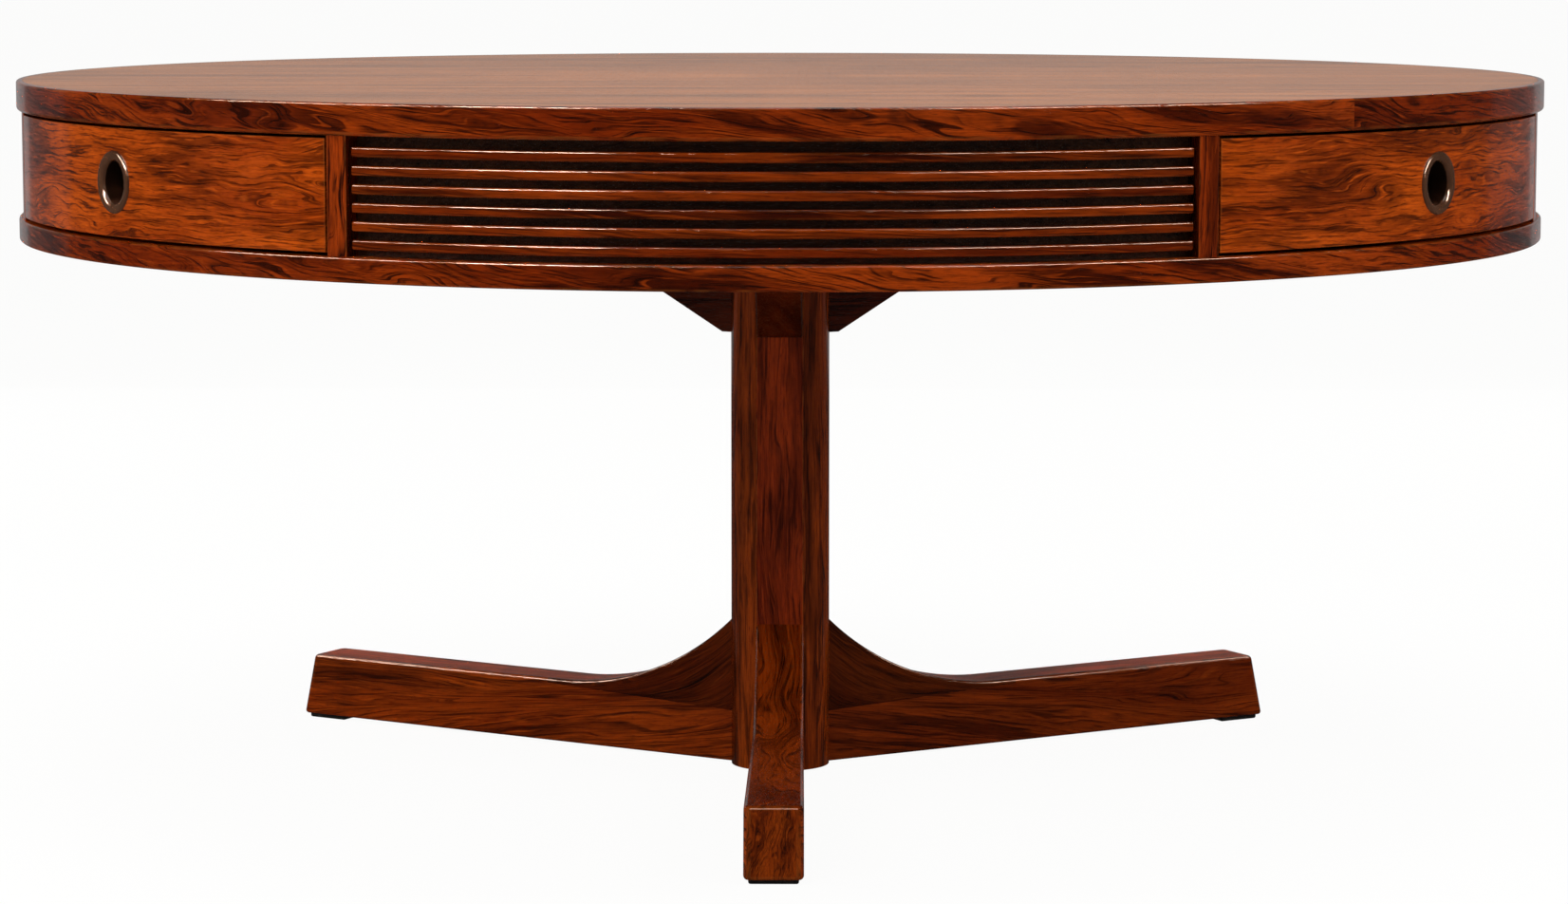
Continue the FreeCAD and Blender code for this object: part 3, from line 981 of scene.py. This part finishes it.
class MakeSlats(bpy.types.Operator):
    """Stacks of curved slats on their dark boards"""

    bl_idname = "drum_desk.make_slats"
    bl_label = "Slats"

    def execute(self, context):
        sizes = context.scene.drum_desk.drum
        wood = rosewood("slat_rosewood", wear=0.12)
        bay = abs(bays["front_right_drawer"])
        offset = math.degrees(sizes.post_offset)
        wide, narrow = bay - offset, 90.0 - bay - offset
        pitch = (slats_high.z - slats_low.z - sizes.slat_height) / (sizes.slat_count - 1)
        for number, (panel, azimuth) in enumerate(panels.items()):
            half_angle = math.radians(wide if panel in ("front", "rear") else narrow)
            stack = []
            for row in range(sizes.slat_count):
                seed = seeds["slats"] + (sizes.slat_count + 1) * number + row
                bar = self.slat(sizes, half_angle, slats_low.z + row * pitch, seed)
                bar.transform(turned(azimuth))
                stack.append(bar)
            make_piece("slat_stack_" + panel, gathered(stack), [wood], "panel_slats",
                       gleams=[DRUM_GLEAM])
        recess = context.scene.drum_desk.finish.recess
        boards = plain_wood("recess_wood", recess, turn=0.0, along="X", gloss_loss=0.2)
        dress("slat_boards", boards)
        return {"FINISHED"}

    def slat(self, sizes, half_angle, low, seed):
        """Curved bar with rounded edges outside."""
        outer = slats_high.x
        inner = outer - sizes.slat_depth
        end = half_angle - math.asin((sizes.post_width / 2 + sizes.slat_gap) / outer)
        steps = max(STEPS["slat"], round(math.degrees(end)))
        outline = arc(AXIS, outer, -end, end, steps) + arc(AXIS, inner, end, -end, steps)
        bar = prism(outline, low, low + sizes.slat_height)
        rim = outer - sizes.slat_depth / 2
        soften(bar, sizes.slat_rounding, lambda at: off_axis(at) > rim)
        return grained(bar, ring_grain(outer, seed))


class MakeDrawerFronts(bpy.types.Operator):
    """Curved drawer fronts with a round hole for the pull"""

    bl_idname = "drum_desk.make_drawer_fronts"
    bl_label = "Drawer fronts"

    def execute(self, context):
        sizes = context.scene.drum_desk.drum
        wood = rosewood("front_rosewood")
        for number, (body, azimuth) in enumerate(bays.items()):
            front = self.front(sizes)
            grained(front, ring_grain(sizes.face_radius, seeds["fronts"] + 3 * number))
            front.transform(turned(azimuth))
            make_piece(body + "_curved_front", front, [wood], body + "_front", body)
        return {"FINISHED"}

    def front(self, sizes):
        """Flat sheet with a hole, given its thickness and bent to the drum."""
        radius = sizes.face_radius
        gap = math.asin((sizes.post_width / 2 + sizes.reveal) / radius)
        half_width = (sizes.post_offset - gap) * radius
        half_height = (front_high.z - front_low.z) / 2
        middle = (front_high.z + front_low.z) / 2
        hole = (pull_high.z - pull_low.z) / 2
        shape = self.holed_sheet(half_width, half_height, hole)
        made = bmesh.ops.extrude_face_region(shape, geom=list(shape.faces))
        for part in made["geom"]:
            if isinstance(part, bmesh.types.BMVert):
                part.co.z = -sizes.front_thickness
        bmesh.ops.recalc_face_normals(shape, faces=shape.faces)
        near = hole + sizes.front_thickness
        shallow = -sizes.front_thickness / 2
        soften(shape, sizes.front_rounding,
               lambda at: at.z > shallow and off_axis(at) > near, segments=3)
        for vert in shape.verts:
            turn = vert.co.x / radius
            reach = radius + vert.co.z
            vert.co = (reach * math.cos(turn), reach * math.sin(turn), middle + vert.co.y)
        bmesh.ops.recalc_face_normals(shape, faces=shape.faces)
        return shape

    def holed_sheet(self, half_width, half_height, hole):
        """Rings of quads from a round hole to a square, and a grid on both sides of it."""
        sides, columns = 16, 26
        ring_shares = (0.0, 0.06, 0.3, 0.64, 1.0)
        shape = new_shape()
        square = []
        for index in range(4 * sides):
            side, step = divmod(index, sides)
            run = 2 * step / sides - 1
            corner = ((1, run), (-run, 1), (-1, -run), (run, -1))[side]
            square.append((corner[0] * half_height, corner[1] * half_height))
        rings = []
        for share in ring_shares:
            ring = []
            for x, y in square:
                reach = math.hypot(x, y)
                ring.append(shape.verts.new((
                    x * share + x / reach * hole * (1 - share),
                    y * share + y / reach * hole * (1 - share), 0.0)))
            rings.append(ring)
        count = len(square)
        for near, far in zip(rings, rings[1:]):
            for index in range(count):
                after = (index + 1) % count
                shape.faces.new((near[index], far[index], far[after], near[after]))
        for way, first in ((1, 0), (-1, 2 * sides)):
            edge = [rings[-1][(first + step) % count] for step in range(sides + 1)]
            for column in range(1, columns + 1):
                x = way * (half_height + (half_width - half_height) * column / columns)
                new = [shape.verts.new((x, vert.co.y, 0.0)) for vert in edge]
                for step in range(sides):
                    shape.faces.new((edge[step], new[step], new[step + 1], edge[step + 1]))
                edge = new
        return shape


class MakePulls(bpy.types.Operator):
    """Turned ring pulls let into the drawer fronts"""

    bl_idname = "drum_desk.make_pulls"
    bl_label = "Ring pulls"

    def execute(self, context):
        sizes = context.scene.drum_desk.drum
        bronze = pull_metal("pull_bronze", shade=1.0, gloss_loss=0.15, shine=1.0)
        # The bore's dark metal is painted shade inside the finger hole.
        dull = pull_metal("pull_bore_painted_shade", shade=0.12, gloss_loss=0.5, shine=0.1)
        height = (pull_low.z + pull_high.z) / 2
        for body, azimuth in bays.items():
            ring = lathe(self.section(sizes), STEPS["pull"], "X", height)
            self.mark_turning(ring, height)
            self.mark_bore(ring, height, sizes)
            ring.transform(turned(azimuth))
            make_piece(body + "_ring", ring, [bronze, dull], body + "_pull", body,
                       slot="pull_dark", gleams=[DRUM_GLEAM])
        return {"FINISHED"}

    def section(self, sizes):
        """Grommet: a rounded rim outside that rolls into the bore."""
        outer = (pull_high.z - pull_low.z) / 2
        bore, lip, rim = sizes.pull_bore, sizes.pull_lip, sizes.pull_rim
        crown = sizes.face_radius + sizes.pull_proud
        back = sizes.face_radius - sizes.front_thickness
        section = [(bore, back), (bore, crown - lip)]
        section += arc((bore + lip, crown - lip), lip, TURN / 2, TURN / 4, STEPS["lip"])[1:]
        section += arc((outer - rim, crown - rim), rim, TURN / 4, 0.0, STEPS["rim"])
        section += [(outer, back)]
        return section

    def mark_bore(self, ring, height, sizes):
        """Give the faces inside the finger hole the dark, dull finish that stands for painted shade.
        """
        for face in ring.faces:
            middle = face.calc_center_median()
            deep = middle.x < sizes.face_radius - sizes.pull_proud
            inside = math.hypot(middle.y, middle.z - height) < sizes.pull_bore + sizes.pull_proud
            face.material_index = 1 if deep and inside else 0

    def mark_turning(self, ring, height):
        """Let the finish run round the ring."""
        def lay(place, middle):
            reach = math.hypot(place.y, place.z - height)
            return Vector((math.atan2(middle.z - height, middle.y) * reach, reach, place.x))

        grained(ring, lay)


class MakeDrawerBoxes(bpy.types.Operator):
    """Finish of the drawer boards, cheeks and runners"""

    bl_idname = "drum_desk.make_drawer_boxes"
    bl_label = "Drawer boxes"

    def execute(self, context):
        lining = context.scene.drum_desk.finish.lining
        cross_shade, matt = 0.94, 0.45
        cross_lining = shaded(lining, cross_shade)
        for body, azimuth in bays.items():
            bay = body.removesuffix("_drawer")
            turn = math.radians(azimuth) - TURN / 4
            lengthwise = plain_wood(bay + "_lining_wood", lining, turn, "X", matt)
            crosswise = plain_wood(bay + "_cross_lining_wood", cross_lining, turn, "Y", matt)
            for node in (body + "_left_side", body + "_right_side",
                         bay + "_runners", bay + "_cheeks"):
                dress(node, lengthwise)
            for node in (body + "_back", body + "_bottom"):
                dress(node, crosswise)
        return {"FINISHED"}


class MakeColumn(bpy.types.Operator):
    """Round column with three flat staves let into it"""

    bl_idname = "drum_desk.make_column"
    bl_label = "Column"

    def execute(self, context):
        sizes = context.scene.drum_desk.base
        radius = core_high.x
        half, depth = sizes.stave_width / 2, sizes.stave_depth
        lean = math.asin(half / radius)
        face = radius * math.cos(lean)
        outline = []
        for azimuth in sorted(legs.values()):
            turn = turned(azimuth)
            for x, y in ((face, -half), (face - depth, -half), (face - depth, half)):
                corner = turn @ Vector((x, y, 0.0))
                outline.append((corner.x, corner.y))
            start = math.radians(azimuth) - TURN / 4 + lean
            outline += arc(AXIS, radius, start, start + TURN / 3 - 2 * lean, STEPS["core"])[:-1]
        core = prism(outline, core_low.z, core_high.z)
        grained(core, straight_grain(2, 0, seeds["core"]))
        make_piece("round_core", core, [rosewood("column_rosewood")], "column_core")
        near = face - sizes.stave_rounding
        middle = (core_low.z + core_high.z) / 2
        reach = sizes.stave_width
        staves = []
        for number, azimuth in enumerate(legs.values()):
            plan = [(face - depth, -half), (face, -half), (face, half), (face - depth, half)]
            stave = prism(plan, core_low.z, core_high.z)
            soften(stave, sizes.stave_rounding,
                   lambda at: at.x > near and abs(at.z - middle) < reach, segments=2)
            grained(stave, straight_grain(2, 1, seeds["staves"] + number))
            stave.transform(turned(azimuth))
            staves.append(stave)
        # The staves' pale arrises are mostly a painted highlight along their edges.
        wood = rosewood("stave_rosewood", wear=0.8)
        make_piece("flat_staves", gathered(staves), [wood], "column_staves")
        return {"FINISHED"}


class MakeArms(bpy.types.Operator):
    """Bracket arms under the drum"""

    bl_idname = "drum_desk.make_arms"
    bl_label = "Arms"

    def execute(self, context):
        sizes = context.scene.drum_desk.base
        # The arms' very dark wood is partly painted shade from the drum above.
        wood = rosewood("arm_rosewood_painted_shade")
        half = (arm_high.x - arm_low.x) / 2
        root, reach = -arm_high.y, -arm_low.y
        outline = [(root, arm_high.z), (root, arm_low.z), (sizes.arm_foot, arm_low.z),
                   (reach, arm_high.z)]
        ceiling = arm_high.z - sizes.arm_rounding
        near = root + sizes.arm_rounding
        for number, (name, azimuth) in enumerate(legs.items()):
            arm = prism(outline, -half, half, upright=False)
            soften(arm, sizes.arm_rounding, lambda at: at.z < ceiling and at.x > near, segments=3)
            grained(arm, straight_grain(0, 2, seeds["arms"] + number))
            arm.transform(turned(azimuth))
            make_piece(name + "_bracket", arm, [wood], name + "_arm")
        return {"FINISHED"}


class MakeLegs(bpy.types.Operator):
    """Legs that widen towards the foot, and the knee blocks glued on them"""

    bl_idname = "drum_desk.make_legs"
    bl_label = "Legs"

    # Sides of the leg, sides of the knee, and the top of both. The right leg's woods are darker
    # copies as painted shade, and the side legs' top wood is darker as painted shade.
    woods = {
        "front": ("front_leg_rosewood", "front_leg_rosewood", "front_leg_rosewood"),
        "right": ("right_leg_rosewood_painted_shade", "right_knee_rosewood", "leg_top_rosewood"),
        "left": ("leg_rosewood", "knee_rosewood", "leg_top_rosewood"),
    }

    def execute(self, context):
        sizes = context.scene.drum_desk.base
        self.half = (leg_high.x - leg_low.x) / 2
        self.slim = sizes.stave_width / 2
        self.root = math.sqrt(core_high.x ** 2 - self.slim ** 2)
        self.reach = -leg_low.y
        for number, (name, azimuth) in enumerate(legs.items()):
            wood, cheek, upper = (rosewood(figure, wear=0.06) for figure in self.woods[name])
            end = rosewood("foot_end_rosewood")
            gleams = [LEG_GLEAM] if name == "front" else [LEG_GLEAM, DRUM_GLEAM]
            boards = (
                (name + "_splayed_leg", name + "_leg", self.leg_outline(sizes), [wood, upper, end]),
                (name + "_knee", name + "_knee_block", self.knee_outline(sizes), [cheek, upper]))
            for piece, node, outline, finishes in boards:
                board = self.board(outline, sizes)
                grained(board, self.leg_grain(sizes, seeds["legs"] + number))
                for face in board.faces:
                    face.normal_update()
                    at_end = self.at_end(sizes, face.calc_center_median())
                    # Upward faces take the top wood, which on the side legs is darker as painted
                    # shade.
                    face.material_index = 2 if at_end else self.faces_up(face)
                board.transform(turned(azimuth))
                make_piece(piece, board, finishes, node, gleams=gleams)
        return {"FINISHED"}

    def faces_up(self, face):
        """1 for the flat upper faces, 0 for the sides and the rounded arrises."""
        sideways, upward = 0.1, 0.2
        return 1 if abs(face.normal.y) < sideways and face.normal.z > upward else 0

    def joint(self, sizes, x):
        """Height of the glue joint between leg and knee block."""
        share = (x - self.root) / (sizes.joint_reach - self.root)
        return sizes.joint_low + (sizes.joint_high - sizes.joint_low) * share

    def rise(self, sizes, x):
        """Height of the knee's top."""
        run = max(0.0, sizes.knee_start - x)
        return sizes.leg_top + sizes.knee_radius - math.sqrt(sizes.knee_radius ** 2 - run ** 2)

    def leg_outline(self, sizes):
        """Side view of a leg."""
        return [(self.root, leg_low.z), (self.reach, sizes.tip_gap),
                (self.reach - sizes.end_slant, sizes.leg_top), (sizes.joint_reach, sizes.leg_top),
                (sizes.joint_reach, sizes.joint_high), (self.root, self.joint(sizes, self.root))]

    def knee_outline(self, sizes):
        """Side view of a knee block."""
        crown = sizes.leg_top + sizes.knee_radius
        end = -TURN / 4 - math.asin((sizes.knee_start - self.root) / sizes.knee_radius)
        sweep = arc((sizes.knee_start, crown), sizes.knee_radius, -TURN / 4, end, STEPS["knee"])
        return [(self.root, self.joint(sizes, self.root)), (sizes.joint_reach, sizes.joint_high),
                (sizes.joint_reach, sizes.leg_top)] + sweep

    def leg_grain(self, sizes, seed):
        """Grain along the leg that bends up with the knee, and stands upright on the foot's end."""
        shift = cut_from(seed)
        upright = straight_grain(2, 1, seed)
        bend = 0.9

        def lay(place, middle):
            if self.at_end(sizes, middle):
                return upright(place, middle)
            level = place.z - bend * (self.rise(sizes, place.x) - sizes.leg_top)
            if abs(middle.y) < self.slim / 2:
                return Vector((place.x, place.y, level)) + shift
            return Vector((place.x, level, place.y)) + shift

        return lay

    def behind(self, sizes, place):
        """Distance of a place behind the leg's slanted end."""
        outward = Vector((sizes.leg_top - sizes.tip_gap, 0.0, sizes.end_slant)).normalized()
        return (Vector((self.reach, 0.0, sizes.tip_gap)) - place).dot(outward)

    def at_end(self, sizes, place):
        """Whether a place is on the leg's slanted end."""
        return self.behind(sizes, place) < sizes.foot_rounding / 4

    def board(self, outline, sizes):
        """Board as wide as the stave at the column, with rounded arrises and a crisp glue joint."""
        shape = prism(outline, -self.half, self.half, upright=False)
        for vert in shape.verts:
            share = (vert.co.x - self.root) / (self.reach - self.root)
            vert.co.y *= (self.slim + (self.half - self.slim) * share) / self.half
        tip = self.reach - 2 * sizes.end_slant

        def corner(at):
            return abs(at.y) > self.slim / 2 and self.behind(sizes, at) < HAIR

        def wanted(at):
            if at.x < self.root + HAIR or abs(at.x - sizes.joint_reach) < HAIR:
                return False
            if at.x < sizes.joint_reach and abs(at.z - self.joint(sizes, at.x)) < HAIR:
                return False
            return abs(at.y) > self.slim / 2 or at.x > tip

        soften(shape, sizes.foot_rounding, corner, segments=5)
        return soften(shape, sizes.leg_rounding, wanted)


class MakeGlides(bpy.types.Operator):
    """Rubber glides under the legs"""

    bl_idname = "drum_desk.make_glides"
    bl_label = "Glides"

    def execute(self, context):
        sizes = context.scene.drum_desk.base
        half = sizes.glide_size / 2
        end = -glides_low.y
        start = end - sizes.glide_size
        outline = [(start, 0.0), (end, 0.0), (end, sizes.tip_gap + sizes.glide_rise),
                   (start, sizes.tip_gap)]
        under_edges = sizes.tip_gap * 0.75
        glides = []
        for number, azimuth in enumerate(legs.values()):
            pad = prism(outline, -half, half, upright=False)
            soften(pad, sizes.glide_rounding, lambda at: at.z < under_edges, segments=3)
            grained(pad, straight_grain(0, 1, seeds["glides"] + number))
            pad.transform(turned(azimuth))
            glides.append(pad)
        rubber = glide_rubber()
        make_piece("rubber_glides", gathered(glides), [rubber], "glides", slot="glide_rubber")
        return {"FINISHED"}


makers = (MakeStage, MakeTop, MakeLowerPanel, MakePosts, MakeSlats, MakeDrawerFronts, MakePulls,
          MakeDrawerBoxes, MakeColumn, MakeArms, MakeLegs, MakeGlides)


class DeskPanel(bpy.types.Panel):
    """Lists what makes the desk, piece by piece"""

    bl_idname = "VIEW3D_PT_drum_desk"
    bl_label = "Drum desk"
    bl_space_type = "VIEW_3D"
    bl_region_type = "UI"
    bl_category = "Drum desk"

    def draw(self, context):
        for maker in makers:
            self.layout.operator(maker.bl_idname)


classes = (DrumSizes, BaseSizes, DeskFinish, StageLook, DrumDesk, *makers, DeskPanel)


def register():
    for kind in classes:
        bpy.utils.register_class(kind)
    bpy.types.Scene.drum_desk = PointerProperty(type=DrumDesk)


def unregister():
    del bpy.types.Scene.drum_desk
    for kind in reversed(classes):
        bpy.utils.unregister_class(kind)


def main():
    register()
    figure_group()
    wear_and_highlight_group()
    for maker in makers:
        section, action = maker.bl_idname.split(".")
        getattr(getattr(bpy.ops, section), action)()


if __name__ == "__main__":
    main()
